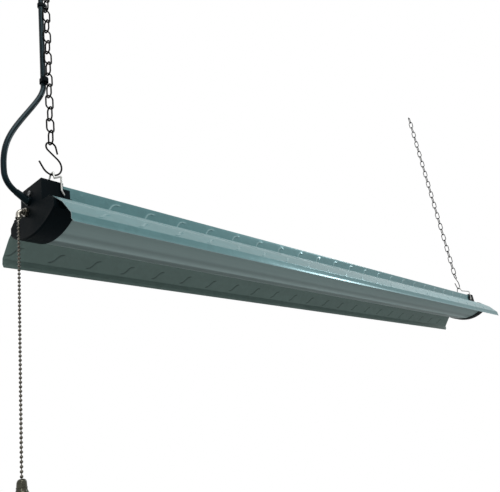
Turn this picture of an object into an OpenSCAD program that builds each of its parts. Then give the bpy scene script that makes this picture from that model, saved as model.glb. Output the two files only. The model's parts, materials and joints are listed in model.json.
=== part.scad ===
// Hanging LED shop light, four feet long: a bent steel reflector on two chains.
// Fixture coordinates: x runs from the sheet's near end to its far end, y across the
// fixture, z up from the crown of the channel. Everything is then moved so that the
// origin is where the near chain's top link hangs on its ceiling hook.

/* [Reflector sheet] */
// Length of the bent sheet
sheet_len = 1219; // [600:1:1500]
// Thickness of the sheet steel
sheet_t = 0.6; // [0.5:0.05:0.9]
// Outer width of the channel on top
channel_w = 40; // [36:0.5:48]
// Height of the channel above the ledges
channel_h = 26.5; // [24:0.5:32]
// Width across of each wing's upper slope
upper_wing_w = 17; // [12:0.5:24]
// Slope of the upper wing below level, in degrees
upper_wing_angle = 38; // [30:1:44]
// Width across of each wing's lower slope
lower_wing_w = 14.9; // [10:0.5:24]
// Slope of the lower wing below level, in degrees
lower_wing_angle = 51; // [46:1:60]
// Depth of the upright lip along each wing
lip_h = 10; // [6:0.5:16]
// Bend radius of the sheet's folds
fold_r = 2; // [1.2:0.1:3]

/* [Lens and light boards] */
// Outer radius of the lens's curved face
lens_r = 72; // [60:1:100]
// Outer width of the lens; the ledges it seats under follow it
lens_w = 86; // [80:0.5:96]
// How far the lens reaches under the wing on each side
lens_reach = 4.5; // [3.5:0.5:6]
// Depth of the lens below the ledges
lens_drop = 29; // [26:0.5:34]
// Wall of the lens
lens_t = 1.4; // [1:0.1:2]
// Width of each light board
board_w = 16; // [10:0.5:17]
// Thickness of each light board
board_t = 1.6; // [1:0.1:2]
// Light chips along each board
chips_per_board = 18; // [8:1:24]

/* [End caps] */
// Wall of the moulded end caps
cap_wall = 1.5; // [1.2:0.1:1.8]
// Length of the cap's sleeve over the channel and the lens
cap_sleeve = 23; // [21:0.5:28]
// Length of the side tab that takes the bail
cap_tab = 31; // [29:0.5:38]
// Depth of the step from the cap's crown to the side tab
tab_step = 5.5; // [4:0.5:8]

/* [Bails, hooks and chains] */
// Distance of each bail from the sheet's end
bail_x = 23; // [22:0.5:24]
// Wire of the bails
bail_wire = 2.2; // [1.8:0.1:2.6]
// Bend radius of the bails' corners
bail_bend_r = 1.3; // [1.25:0.05:1.4]
// Height of the bail's crown above the channel
bail_rise = 24.5; // [20:0.5:30]
// Depth of the bail's pivot below the channel's crown
bail_pivot = 13.5; // [12:0.5:15]
// Wire of the S-hooks
hook_wire = 2; // [1.6:0.1:2.4]
// Radius of an S-hook's lower bend
hook_low_r = 12.5; // [9:0.5:14]
// Radius of an S-hook's upper bend
hook_top_r = 6.3; // [5:0.1:8]
// Height of an S-hook between its two wire centres
hook_h = 42.2; // [38:0.1:50]
// Wire of the chain links
link_wire = 1.9; // [1.6:0.1:2.2]
// Inner length of a chain link
link_inner = 16.4; // [14:0.1:20]
// Outer width of a chain link
link_w = 11; // [10:0.1:13]
// Links in each chain
link_count = 30; // [18:1:34]

/* [Pull-chain switch] */
// Offset of the switch from the middle of the fixture
switch_y = 8.5; // [6:0.5:10]
// Depth of the switch below the channel's crown
switch_drop = 28; // [26:0.5:29]
// Radius of the elbow that turns the pull chain down
elbow_r = 4.5; // [4.2:0.1:6]
// Diameter of the beads
bead_d = 3.2; // [2.4:0.1:3.4]
// Distance from bead to bead
bead_pitch = 4.23; // [3.8:0.01:4.8]
// Beads in the chain, from the mouth to the bell
bead_count = 63; // [20:1:90]
// Travel of the pull chain
pull_travel = 6; // [4:0.5:7]

/* [Supply cord] */
// Diameter of the round supply cord
cord_d = 6.4; // [6:0.1:6.5]
// Full turns of the coiled spare cord, and the half turn to its plug
coil_turns = 4.5; // [3.5:1:5.5]
// Radius of the coil at the middle of its turns
coil_r = 35.5; // [30:0.5:38]
// Straight end of the cord from the coil down to its plug
cord_end = 45; // [44:1:60]
// Step of the coil from turn to turn
coil_step = 7; // [6.95:0.05:9]
// Width of the plug's body
plug_w = 24; // [20:0.5:28]
// Radius of the plug's round ground pin
ground_pin_r = 2.4; // [2.2:0.05:2.5]

/* [Hidden] */
fit = 0.15;                 // gap between fixed pieces that seat on each other
play = 0.3;                 // gap between pieces that move past each other
seat_gap = 0.1;             // gap between hooked wires at rest
bore_play = 0.08;           // radial running clearance of the bails' ends
bend_swell = 0.06;          // how much thicker a wire is where it is bent
bend_reach = 0.12;          // how far straight wire runs into a bend
$fn = 32;

// ---- Places worked out from the driving sizes ----
crown_z = -0.5;                               // outer face of the channel's top
ledge_z = crown_z - channel_h;                // upper face of the ledges
half_channel = channel_w / 2;
shoulder_y = lens_w / 2 - lens_reach;
ledge_w = shoulder_y - half_channel;          // the flat ledge beside the channel
knee_y = shoulder_y + upper_wing_w;
knee_z = ledge_z - upper_wing_w * tan(upper_wing_angle);
lip_y = knee_y + lower_wing_w;
lip_top_z = knee_z - lower_wing_w * tan(lower_wing_angle);
lip_lean = 1.6;                               // how far the lip leans out
lip_end_z = lip_top_z - lip_h;
under_ledge_z = ledge_z - sheet_t;

bail_d_half = bail_wire / 2;
hook_d_half = hook_wire / 2;
link_d_half = link_wire / 2;
bail_crown_z = crown_z + bail_rise;
hook_low_z = bail_crown_z - bail_d_half - hook_d_half - seat_gap;
hook_top_z = hook_low_z + hook_h;
link_len = link_inner + link_wire;            // between the two bends' wire centres
link_pitch = link_len - link_wire - seat_gap; // from link to link
link_bend_r = (link_w - link_wire) / 2;
first_link_z = hook_top_z - hook_d_half - link_d_half - seat_gap;
top_link_index = link_count - 1;
function link_low_z(i) = first_link_z + i * link_pitch;
hang_z = link_low_z(top_link_index) + link_len - link_d_half;
far_bail_x = sheet_len - bail_x;

cap_out = cap_wall + fit;                     // how far a cap stands off the sheet
cap_face_x = -3;                              // outer face of the near cap
cap_half = half_channel + cap_out;
cap_top_z = crown_z + cap_out;
bail_leg_y = cap_half + play + bail_d_half;
pivot_z = crown_z - bail_pivot;
lens_low_z = under_ledge_z - lens_drop;
lens_axis_z = lens_low_z + lens_r;
lens_half = lens_w / 2;
lens_top_z = under_ledge_z - fit;
lens_foot_w = 6;                              // inward foot on each side of the lens
tray_t = 0.8;
tray_z = lens_top_z - tray_t;
tray_half = lens_half - lens_foot_w - play;
tray_end = 34;                                // bare length at each end of the tray

cord_y = link_bend_r + 0.05;                  // the cord lies in the chain's corner
cord_x = bail_x - link_bend_r - 0.05;
cord_r = cord_d / 2;
coil_x = cord_x - coil_r;
coil_link = 23;
coil_z = link_low_z(coil_link) + link_len / 2;
coil_end_y = cord_y + coil_turns * coil_step;
coil_end_x = coil_x - coil_r;

switch_z = crown_z + 0.5 - switch_drop;
nozzle_x = cap_face_x - 5.5;                  // where the elbow starts
pull_x = nozzle_x - elbow_r;
mouth_z = switch_z - elbow_r - 4;
first_bead_z = switch_z - 3.6;                // the topmost bead, inside the elbow

// ---- Tools ----
function unit(v) = v / norm(v);

// Points of a rounded corner at b, on the way from a to c
function corner(a, b, c, r, n = 4) =
    let (
        u = unit(a - b),
        w = unit(c - b),
        half = acos(u * w) / 2,
        reach = r / tan(half),
        centre = b + unit(u + w) * r / sin(half),
        start = b + u * reach - centre,
        stop = b + w * reach - centre,
        a0 = atan2(start[1], start[0]),
        turn = (atan2(stop[1], stop[0]) - a0 + 540) % 360 - 180
    )
    [for (i = [0 : n]) centre + r * [cos(a0 + turn * i / n), sin(a0 + turn * i / n)]];

// An open outline with its inner corners rounded; side is the extra radius of each bend
function rounded(p, r) =
    let (last = len(p) - 1)
    [for (i = [0 : last])
        each (i == 0 || i == last) ? [p[i]] : corner(p[i - 1], p[i], p[i + 1], r)];

// The same outline moved sideways by d, to the right of its direction
function beside(p, d) =
    let (last = len(p) - 1)
    [for (i = [0 : last])
        let (
            u = unit(p[min(i + 1, last)] - p[min(i, last - 1)]),
            w = unit(p[max(i, 1)] - p[max(i - 1, 0)]),
            m = unit([u[1], -u[0]] + [w[1], -w[0]]),
            k = d / (m * [u[1], -u[0]])
        )
        p[i] + k * m];

function mirrored(p) = [for (i = [len(p) - 1 : -1 : 0]) [-p[i][0], p[i][1]]];

// Extrudes a y-z outline along x, from x0 for a length
module along_x(x0, length) {
    translate([x0, 0, 0]) rotate([90, 0, 90]) linear_extrude(length) children();
}

// A round rod from a to b
module rod(a, b, d) {
    v = b - a;
    translate(a)
        rotate([0, acos(v[2] / norm(v)), atan2(v[1], v[0])])
        cylinder(h = norm(v), d = d, $fn = 20);
}

// A part of a ring of wire in the plane of u and w, a hair thicker than straight wire
module wire_bend(centre, u, w, r, turn, d) {
    n = cross(u, w);
    multmatrix([
        [u[0], w[0], n[0], centre[0]],
        [u[1], w[1], n[1], centre[1]],
        [u[2], w[2], n[2], centre[2]],
        [0, 0, 0, 1]
    ])
        rotate_extrude(angle = turn, $fn = 48)
        translate([r, 0]) circle(d = d + bend_swell, $fn = 20);
}

// Straight wire from a to b whose ends run a little way into the bends they meet
module wire_rod(a, b, d, from_bend = true, to_bend = true) {
    v = unit(b - a);
    rod(a - v * (from_bend ? bend_reach : 0), b + v * (to_bend ? bend_reach : 0), d);
}

// Bent wire through the points p, each corner bent to radius r
module bent_wire(p, r, d) {
    last = len(p) - 1;
    half = [for (i = [0 : last]) (i == 0 || i == last) ? 90
        : acos(unit(p[i - 1] - p[i]) * unit(p[i + 1] - p[i])) / 2];
    reach = [for (i = [0 : last]) (i == 0 || i == last) ? 0 : r / tan(half[i])];
    for (i = [0 : last - 1]) {
        v = unit(p[i + 1] - p[i]);
        wire_rod(p[i] + v * reach[i], p[i + 1] - v * reach[i + 1], d, i > 0, i < last - 1);
    }
    for (i = [1 : last - 1]) {
        u = unit(p[i - 1] - p[i]);
        w = unit(p[i + 1] - p[i]);
        centre = p[i] + unit(u + w) * r / sin(half[i]);
        start = unit(p[i] + u * reach[i] - centre);
        stop = unit(p[i] + w * reach[i] - centre);
        side = unit(stop - (stop * start) * start);
        wire_bend(centre, start, side, r, 180 - 2 * half[i], d);
    }
}

// Rings of a tube along a path; across is a direction the path never takes
function tube_points(path, r, sides, across) =
    let (last = len(path) - 1)
    [for (i = [0 : last])
        let (
            t = unit(path[min(i + 1, last)] - path[max(i - 1, 0)]),
            u = unit(across - (across * t) * t),
            w = cross(t, u)
        )
        for (k = [0 : sides - 1])
            path[i] + r * (cos(360 * k / sides) * u + sin(360 * k / sides) * w)];

function tube_faces(rings, sides) = concat(
    [[for (k = [0 : sides - 1]) k]],
    [for (i = [0 : rings - 2], k = [0 : sides - 1])
        each [[i * sides + k, (i + 1) * sides + k, i * sides + (k + 1) % sides],
            [i * sides + (k + 1) % sides, (i + 1) * sides + k,
                (i + 1) * sides + (k + 1) % sides]]],
    [[for (k = [sides - 1 : -1 : 0]) (rings - 1) * sides + k]]);

module tube(path, r, sides, across = [0, 1, 0]) {
    polyhedron(tube_points(path, r, sides, across), tube_faces(len(path), sides), 10);
}

// A flat ring that goes round two round things, standing on the x-y plane
module strap(a, b, inner_r, wall, height) {
    v = b - a;
    translate([a[0], a[1], 0]) rotate([0, 0, atan2(v[1], v[0])])
        linear_extrude(height, center = true)
        difference() {
            stadium(norm(v), inner_r + wall);
            stadium(norm(v), inner_r);
        }
}

module stadium(length, r) {
    circle(r = r);
    translate([length, 0]) circle(r = r);
    translate([0, -r]) square([length, 2 * r]);
}

module at_far_end() {
    translate([sheet_len, 0, 0]) mirror([1, 0, 0]) children();
}

// ---- Chains, hooks and bails ----
// A chain link standing in the x-z plane, or the y-z plane when turned
module link(x, i, wire = link_wire) {
    turned = (i % 2 == 0) ? 90 : 0;
    low = link_low_z(i);
    straight = link_len - 2 * link_bend_r;
    translate([x, 0, low + link_bend_r]) rotate([0, 0, turned]) {
        rotate([90, 0, 0]) rotate([0, 0, 180]) link_end(wire);
        translate([0, 0, straight]) rotate([90, 0, 0]) link_end(wire);
        for (side = [-1, 1])
            translate([side * link_bend_r, 0, 0]) cylinder(h = straight, d = wire, $fn = 20);
    }
}

module link_end(wire) {
    rotate_extrude(angle = 180, $fn = 40) translate([link_bend_r, 0]) circle(d = wire, $fn = 20);
}

module chain(x) {
    color("#1c1d1f") for (i = [0 : link_count - 3]) link(x, i);
}

module top_link(x) {
    color("#1c1d1f") link(x, top_link_index);
}

module second_link(x) {
    color("#1c1d1f") link(x, top_link_index - 1);
}

// Open S-hook in the x-z plane: a wide bend below for the bail, a narrow one above
module s_hook(x) {
    low_c = [x, 0, hook_low_z + hook_low_r];
    top_c = [x, 0, hook_top_z - hook_top_r];
    gap = top_c[2] - low_c[2];
    lean = 90 - acos((hook_low_r + hook_top_r) / gap);
    low_out = [cos(lean), 0, sin(lean)];
    right = [1, 0, 0];
    up = [0, 0, 1];
    open_angle = 12;                          // how far each free end stands out
    flare_angle = 32;
    flare_out = [-cos(flare_angle), 0, -sin(flare_angle)];
    flare_side = [sin(flare_angle), 0, -cos(flare_angle)];
    open_out = [cos(open_angle), 0, sin(open_angle)];
    open_side = [-sin(open_angle), 0, cos(open_angle)];
    color("#1c1d1f") {
        wire_bend(low_c, flare_out, flare_side, hook_low_r, 180 + lean - flare_angle, hook_wire);
        wire_bend(top_c, open_out, open_side, hook_top_r, 180 + lean - open_angle, hook_wire);
        wire_rod(low_c + hook_low_r * low_out, top_c - hook_top_r * low_out, hook_wire);
        wire_rod(low_c + hook_low_r * flare_out, low_c + hook_low_r * flare_out - 9 * flare_side,
            hook_wire, true, false);
        wire_rod(top_c + hook_top_r * open_out, top_c + hook_top_r * open_out - 8 * open_side,
            hook_wire, true, false);
    }
}

// Wire bail over the channel; its ends turn in through the side holes
module bail(x) {
    leg_x = x - 3;
    inner_end = half_channel - 4;
    function arm(side) = [
        [x, side * inner_end, pivot_z],
        [x, side * bail_leg_y, pivot_z],
        [leg_x, side * bail_leg_y, pivot_z + 5],
        [leg_x, side * bail_leg_y, crown_z + 8.5],
        [x - 1, side * 6.2, bail_crown_z - 9.5],
        [x, side * 2.6, bail_crown_z]
    ];
    right = arm(1);
    color("#c9ccce")
        bent_wire(concat(arm(-1), [for (i = [len(right) - 1 : -1 : 0]) right[i]]),
            bail_bend_r, bail_wire);
}

// ---- Reflector ----
half_profile = [
    [half_channel, crown_z], [half_channel, ledge_z], [shoulder_y, ledge_z],
    [knee_y, knee_z], [lip_y, lip_top_z], [lip_y + lip_lean, lip_end_z]
];

module reflector_outline() {
    outer = rounded(concat(mirrored(half_profile), half_profile), fold_r);
    inner = beside(outer, sheet_t);
    polygon(concat(outer, [for (i = [len(inner) - 1 : -1 : 0]) inner[i]]));
}

module pivot_holes(r) {
    for (x = [bail_x, far_bail_x])
        translate([x, 0, pivot_z]) rotate([90, 0, 0])
            cylinder(h = channel_w + 8, r = r, center = true);
}

// Rows of slanted tread marks: distance down the face, place of the first one, lean, and
// the bare length at each end
mark_pitch = 52.4;
mark_len = 25;
mark_w = 2.4;
mark_rise = 0.6;
mark_lean = 26;
upper_face = [shoulder_y, ledge_z, upper_wing_angle];
lower_face = [knee_y, knee_z, lower_wing_angle];
wall_face = [half_channel, crown_z, 90];

module tread_row(face, side, down, first, lean, bare) {
    count = floor((sheet_len - bare - first) / mark_pitch);
    mirror([0, side > 0 ? 0 : 1, 0]) translate([0, face[0], face[1]]) rotate([-face[2], 0, 0])
        for (k = [0 : count])
            translate([first + k * mark_pitch, down, -sheet_t / 2]) rotate([0, 0, lean])
                linear_extrude(sheet_t / 2 + mark_rise)
                translate([-mark_len / 2, 0]) stadium(mark_len, mark_w / 2);
}

module tread_marks() {
    for (side = [-1, 1]) {
        tread_row(upper_face, side, 11, 36, mark_lean, 20);
        tread_row(lower_face, side, 12, side > 0 ? 15.3 : 48, -mark_lean, 20);
        tread_row(wall_face, side, 8.5, side > 0 ? 78.4 : 50, -mark_lean, 50);
    }
}

// The lips' lower corners are rounded off at the sheet's ends
module lip_corners() {
    corner_r = 4;
    for (end = [0, 1]) translate([end * sheet_len, 0, lip_end_z]) mirror([end, 0, 0])
        rotate([90, 0, 0]) linear_extrude(4 * lip_y, center = true) difference() {
            translate([-1, -1]) square(corner_r + 1);
            translate([corner_r, corner_r]) circle(r = corner_r, $fn = 40);
        }
}

module reflector() {
    color("#8fa3a6") difference() {
        union() {
            along_x(0, sheet_len) reflector_outline();
            tread_marks();
        }
        pivot_holes(bail_d_half + bore_play);
        lip_corners();
    }
}

// ---- End caps and end plates ----
// Height just under the upper wing at a distance y from the middle
function under_wing_z(y) = ledge_z - (y - shoulder_y) * tan(upper_wing_angle)
    - (sheet_t + fit) / cos(upper_wing_angle);

// Outline of the lens, grown by g; its upper corners follow the wings
module lens_shell_outline(g) {
    half = lens_half + g;
    top = lens_top_z + min(g, 0);
    low = lens_low_z - g - 1;
    wing_y = min(half, shoulder_y + (under_wing_z(shoulder_y) - top) / tan(upper_wing_angle));
    side_z = min(top - 0.01, under_wing_z(half) + min(g, 0));
    intersection() {
        translate([0, lens_axis_z]) circle(r = lens_r + g, $fn = 160);
        polygon([
            [-half, low], [half, low], [half, side_z], [wing_y, top], [-wing_y, top], [-half, side_z]
        ]);
    }
}

module channel_outline(g) {
    translate([-half_channel - g, ledge_z + fit])
        square([channel_w + 2 * g, channel_h + g - fit]);
}

module end_cap() {
    flange_w = ledge_w - 1;
    flange_t = 1.2;
    tab_foot_w = 2.5;
    face_t = 1.8;
    color("#23262a") difference() {
        union() {
            difference() {
                union() {
                    along_x(cap_face_x, cap_sleeve - cap_face_x) {
                        channel_outline(cap_out);
                        lens_shell_outline(cap_out);
                    }
                    side_tabs();
                }
                along_x(cap_face_x + face_t, cap_tab + 10) {
                    channel_outline(fit);
                    translate([-half_channel - fit, ledge_z - 6])
                        square([channel_w + 2 * fit, 10]);
                    lens_shell_outline(fit);
                }
                along_x(-fit, cap_tab + 10)
                    translate([-lens_w, under_ledge_z - fit])
                    square([2 * lens_w, sheet_t + 2 * fit]);
            }
            for (side = [-1, 1]) {
                translate([cap_face_x, side > 0 ? half_channel + fit : -shoulder_y + 1, ledge_z + fit])
                    cube([cap_sleeve - cap_face_x, flange_w - fit, flange_t]);
                translate([cap_face_x, side > 0 ? half_channel + fit : -cap_half - tab_foot_w,
                    ledge_z + fit])
                    cube([cap_tab + 5 - cap_face_x, cap_wall + tab_foot_w, flange_t]);
            }
            translate([cap_face_x, -shoulder_y + 1, under_ledge_z - 2])
                cube([face_t, 2 * shoulder_y - 2, sheet_t + 2 + fit + flange_t]);
        }
        fold_clearance();
        cap_edge_bevel();
    }
}

// The rounded folds at the channel's foot need a bevelled corner in the cap
module fold_clearance() {
    reach = fold_r + 2 * fit;
    along_x(-fit, cap_tab + 10)
        for (side = [-1, 1])
            polygon([
                [side * (half_channel - 1), ledge_z - 1], [side * (half_channel + reach), ledge_z - 1],
                [side * (half_channel + reach), ledge_z + fit],
                [side * (half_channel + fit), ledge_z + reach],
                [side * (half_channel - 1), ledge_z + reach]
            ]);
}

// The side tabs reach past the sleeve, under a step
module side_tabs() {
    for (side = [-1, 1])
        translate([cap_face_x, side > 0 ? half_channel + fit : -cap_half, ledge_z + fit])
            cube([cap_tab - cap_face_x, cap_wall, channel_h - tab_step]);
}

// A narrow bevel round the face's lens side
module cap_edge_bevel() {
    bevel = 1.6;
    translate([cap_face_x - 0.01, 0, lens_axis_z]) rotate([0, 90, 0])
        difference() {
            cylinder(h = bevel, r = lens_r + 8, $fn = 160);
            cylinder(h = bevel, r1 = lens_r + cap_out - bevel, r2 = lens_r + cap_out, $fn = 160);
            translate([-2 * lens_r, -2 * lens_r, -1])
                cube([lens_r * 2 + 45, 4 * lens_r, bevel + 2]);
        }
}

cap_screw_y = 1.5;
cap_screw_z = crown_z - 7;
relief_z = -15.5;
relief_y = cord_y;
barrel_r = 3.6;
nozzle_bore_r = 2;

module near_end_cap() {
    color("#23262a") difference() {
        end_cap();
        pivot_holes(bail_d_half + bore_play);
        through_face(cap_screw_y, cap_screw_z, 1.3);
        through_face(switch_y, switch_z, barrel_r + fit);
        through_face(relief_y, relief_z, relief_r + fit);
    }
}

module through_face(y, z, r) {
    translate([cap_face_x - 3, y, z]) rotate([0, 90, 0]) cylinder(h = 6, r = r);
}

module far_end_cap() {
    color("#23262a") difference() {
        at_far_end() difference() {
            end_cap();
            through_face(cap_screw_y, cap_screw_z, 1.3);
        }
        pivot_holes(bail_d_half + bore_play);
    }
}

plate_t = 1;
plate_x = cap_face_x + 1.8 + 0.1;

module end_plate(low_z) {
    tab = 12;
    color("#b4bcc0") difference() {
        union() {
            translate([plate_x, -half_channel + 0.4, low_z])
                cube([plate_t, channel_w - 0.8, crown_z - sheet_t - fit - low_z]);
            translate([plate_x, -half_channel + 5, crown_z - sheet_t - fit - plate_t])
                cube([tab, channel_w - 10, plate_t]);
        }
        through_face(cap_screw_y, cap_screw_z, 1.05);
    }
}

module near_end_plate() {
    color("#b4bcc0") difference() {
        end_plate(-44);
        through_face(switch_y, switch_z, barrel_r + fit);
        through_face(relief_y, relief_z, relief_r + fit);
    }
}

module far_end_plate() {
    at_far_end() end_plate(-26);
}

module pan_screw(head_r, head_h, shank_r, shank) {
    difference() {
        cylinder(h = head_h, r = head_r);
        translate([-head_r * 0.7, -0.35, head_h - 0.5]) cube([head_r * 1.4, 0.7, 1]);
        translate([-0.35, -head_r * 0.7, head_h - 0.5]) cube([0.7, head_r * 1.4, 1]);
    }
    translate([0, 0, -shank]) cylinder(h = shank + 0.01, r = shank_r);
}

module cap_screw() {
    translate([cap_face_x - 0.05, cap_screw_y, cap_screw_z]) rotate([0, -90, 0])
        pan_screw(2.6, 1.5, 1, 6);
}

module end_cap_screws() {
    color("#5c6063") {
        cap_screw();
        at_far_end() cap_screw();
    }
}

// ---- Lens, tray and boards ----
module lens_outline() {
    difference() {
        lens_shell_outline(0);
        lens_shell_outline(-lens_t);
        translate([-lens_half + lens_foot_w, lens_top_z - lens_t - 1])
            square([lens_w - 2 * lens_foot_w, lens_t + 2]);
    }
}

module lens() {
    seat = 8;
    color("#b9bbb4") along_x(cap_sleeve - seat, sheet_len - 2 * (cap_sleeve - seat))
        lens_outline();
}

module led_tray() {
    color("#e8ebec") difference() {
        translate([tray_end, -tray_half, tray_z])
            cube([sheet_len - 2 * tray_end, 2 * tray_half, tray_t]);
        tray_screw_places() translate([0, 0, -3]) cylinder(h = 6, r = 1.6);
        translate([sheet_len / 2, 0, tray_z - 1]) cylinder(h = 3, r = 3.4);
    }
}

tray_screw_count = 4;
tray_screw_inset = 4.7;

module tray_screw_places() {
    for (i = [0 : tray_screw_count - 1], side = [-1, 1])
        translate([
            tray_end + 30 + i * (sheet_len - 2 * tray_end - 60) / (tray_screw_count - 1),
            side * (tray_half - tray_screw_inset), tray_z
        ])
            children();
}

module tray_screws() {
    color("#8d9296") tray_screw_places() mirror([0, 0, 1]) {
        translate([0, 0, 0.05]) pan_screw(3, 1.6, 1.45, tray_t - 0.1);
    }
}

board_gap = 5;
board_y = 9;
board_len = (sheet_len - 2 * tray_end - 3 * board_gap) / 2;
board_z = tray_z - 0.05 - board_t;

module led_boards() {
    color("#f2f4f2")
        for (i = [0, 1], side = [-1, 1])
            translate([tray_end + board_gap + i * (board_len + board_gap),
                side * board_y - board_w / 2 + side * 0.5, board_z])
                cube([board_len, board_w, board_t]);
}

module led_chips() {
    chip = 3;
    color("#f4e9a8")
        for (i = [0, 1], side = [-1, 1], k = [0 : chips_per_board - 1])
            translate([
                tray_end + board_gap + i * (board_len + board_gap)
                    + (k + 0.5) * board_len / chips_per_board - chip / 2,
                side * (board_y + 0.5) - chip / 2, board_z - 0.75
            ])
                cube([chip, chip, 0.7]);
}

// ---- Driver and leads in the channel ----
driver_x = 300;
driver_len = 180;
driver_w = 30;
driver_h = 18;
driver_top_z = crown_z - sheet_t - 0.1;

module driver_case() {
    ear = 12;
    color("#d5d8d9") difference() {
        union() {
            translate([driver_x, -driver_w / 2, driver_top_z - driver_h])
                cube([driver_len, driver_w, driver_h]);
            translate([driver_x - ear, -driver_w / 2, driver_top_z - 1])
                cube([driver_len + 2 * ear, driver_w, 1]);
        }
        translate([driver_x + 1, -driver_w / 2 + 1, driver_top_z - driver_h - 1])
            cube([driver_len - 2, driver_w - 2, driver_h - 1]);
        driver_screw_places() translate([0, 0, -3]) cylinder(h = 6, r = 1.7);
        for (x = [driver_x - 1, driver_x + driver_len - 2])
            translate([x, 0, driver_top_z - 9]) rotate([0, 90, 0]) cylinder(h = 3, r = 3.4);
    }
}

module driver_lid() {
    color("#d5d8d9") translate([driver_x, -driver_w / 2, driver_top_z - driver_h - 1.05])
        cube([driver_len, driver_w, 1]);
}

module driver_screw_places() {
    for (x = [driver_x - 6, driver_x + driver_len + 6])
        translate([x, 0, driver_top_z - 1.05]) children();
}

module driver_screws() {
    color("#8d9296") driver_screw_places() mirror([0, 0, 1]) pan_screw(3, 1.6, 1.5, 1);
}

// Insulated leads from the strain relief by the switch to the driver
module supply_leads() {
    lead_d = 1.8;
    z = driver_top_z - 9;
    for (lead = [["#1d1d1d", 2.1], ["#e8e8e8", 0], ["#2f7d3a", -2.1]])
        color(lead[0]) bent_wire([
            [3, relief_y + lead[1], relief_z],
            [24, relief_y + lead[1], relief_z],
            [50, lead[1], z],
            [driver_x + 4, lead[1], z]
        ], 5, lead_d);
}

// Two leads from the driver down through the tray to the boards
module light_leads() {
    z = driver_top_z - 9;
    for (lead = [["#b02a24", 2.4], ["#1d1d1d", -2.4]])
        color(lead[0]) bent_wire([
            [driver_x + driver_len - 4, lead[1], z],
            [sheet_len / 2, lead[1], z],
            [sheet_len / 2, lead[1], tray_z - 2]
        ], 4, 1.8);
}

module ground_screw() {
    color("#3f9b4a") translate([60, -10, crown_z - sheet_t - 0.05]) mirror([0, 0, 1])
        pan_screw(3.4, 2, 1.6, 0);
}

// ---- Strain relief and switch ----
relief_r = 4.4;
relief_flange_r = 5.5;
relief_angle = 30;
relief_tail = 15;
relief_knee_x = cap_face_x - 1.6;

// Moulded grommet on the cord: a flange on the cap, a neck through it and an upturned tail
module strain_relief() {
    tail_r = cord_r + 0.4;
    knee_r = 4.6;
    color("#17181a") difference() {
        union() {
            translate([cap_face_x, relief_y, relief_z]) {
                rotate([0, -90, 0]) cylinder(h = 1.6, r = relief_flange_r);
                rotate([0, 90, 0]) cylinder(h = 9, r = relief_r);
            }
            translate([relief_knee_x, relief_y, relief_z]) {
                rotate([0, -90 + relief_angle, 0])
                    cylinder(h = relief_tail, r1 = relief_r, r2 = tail_r);
                sphere(r = knee_r);
            }
        }
        translate([relief_knee_x, relief_y, relief_z]) {
            rotate([0, -90 + relief_angle, 0]) cylinder(h = relief_tail + 1, r = cord_r + 0.05);
            rotate([0, 90, 0]) cylinder(h = 12, r = 3.3);
            sphere(r = 3.6);
        }
    }
}

module strain_relief_nut() {
    color("#17181a") translate([plate_x + plate_t + 0.1, relief_y, relief_z]) rotate([0, 90, 0])
        difference() {
            cylinder(h = 4, r = 6.3, $fn = 6);
            translate([0, 0, -1]) cylinder(h = 6, r = relief_r + 0.05);
        }
}

body_x = plate_x + plate_t + 0.1;
body_len = 25;
body_w = 17;
body_h = 15;
body_wall = 1.4;
switch_body_z = switch_z - 1.6;

module switch_body() {
    color("#24282c") difference() {
        translate([body_x, switch_y - body_w / 2, switch_body_z - body_h / 2])
            cube([body_len, body_w, body_h]);
        translate([body_x + body_wall, switch_y - body_w / 2 + body_wall,
            switch_body_z - body_h / 2 + body_wall])
            cube([body_len, body_w - 2 * body_wall, body_h - 2 * body_wall]);
        translate([body_x - 1, switch_y, switch_z]) rotate([0, 90, 0])
            cylinder(h = 4, r = 1.6);
    }
}

module switch_cover() {
    color("#7a3f22") translate([body_x + body_len + 0.05, switch_y - body_w / 2,
        switch_body_z - body_h / 2])
        cube([1.5, body_w, body_h]);
}

module switch_plunger() {
    rest_x = body_x + 14;
    color("#d8c9a0") translate([rest_x, switch_y, switch_z]) {
        translate([0, -6, -5]) cube([6, 12, 8]);
        translate([-13.5, 0, 0]) rotate([0, 90, 0]) cylinder(h = 14, r = 1.4);
    }
}

module switch_barrel() {
    start = body_x - 0.05;
    stop = nozzle_x + 0.2;
    color("#c8b477") translate([stop, switch_y, switch_z]) rotate([0, 90, 0]) difference() {
        cylinder(h = start - stop, r = barrel_r);
        translate([0, 0, -1]) cylinder(h = start - stop + 2, r = nozzle_bore_r);
    }
}

// Round nut with a fluted rim
module switch_nut() {
    flutes = 24;
    nut_r = 5;
    color("#c9ccce") translate([cap_face_x - 3.1, switch_y, switch_z]) rotate([0, 90, 0])
        linear_extrude(3) difference() {
            circle(r = nut_r);
            circle(r = barrel_r + 0.05);
            for (k = [0 : flutes - 1])
                rotate([0, 0, k * 360 / flutes]) translate([nut_r + 0.15, 0]) circle(r = 0.5);
        }
}

// Quarter-turn elbow with a flared mouth, so that the chain leaves straight down
module switch_elbow() {
    outer_r = 2.7;
    bore_r = nozzle_bore_r;
    flare = 4;
    color("#c9ccce") difference() {
        union() {
            elbow_turn(outer_r);
            translate([pull_x, switch_y, mouth_z + flare / 2])
                cylinder(h = flare / 2, r1 = outer_r, r2 = outer_r);
            translate([pull_x, switch_y, mouth_z])
                cylinder(h = flare / 2, r1 = outer_r + 0.8, r2 = outer_r);
        }
        elbow_turn(bore_r);
        translate([pull_x, switch_y, mouth_z - 1]) cylinder(h = flare + 1.02, r = bore_r);
        translate([nozzle_x - 0.02, switch_y, switch_z]) rotate([0, 90, 0]) cylinder(h = 1, r = bore_r);
        translate([pull_x, switch_y, mouth_z - 0.01])
            cylinder(h = 1.5, r1 = bore_r + 1, r2 = bore_r);
    }
}

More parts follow.
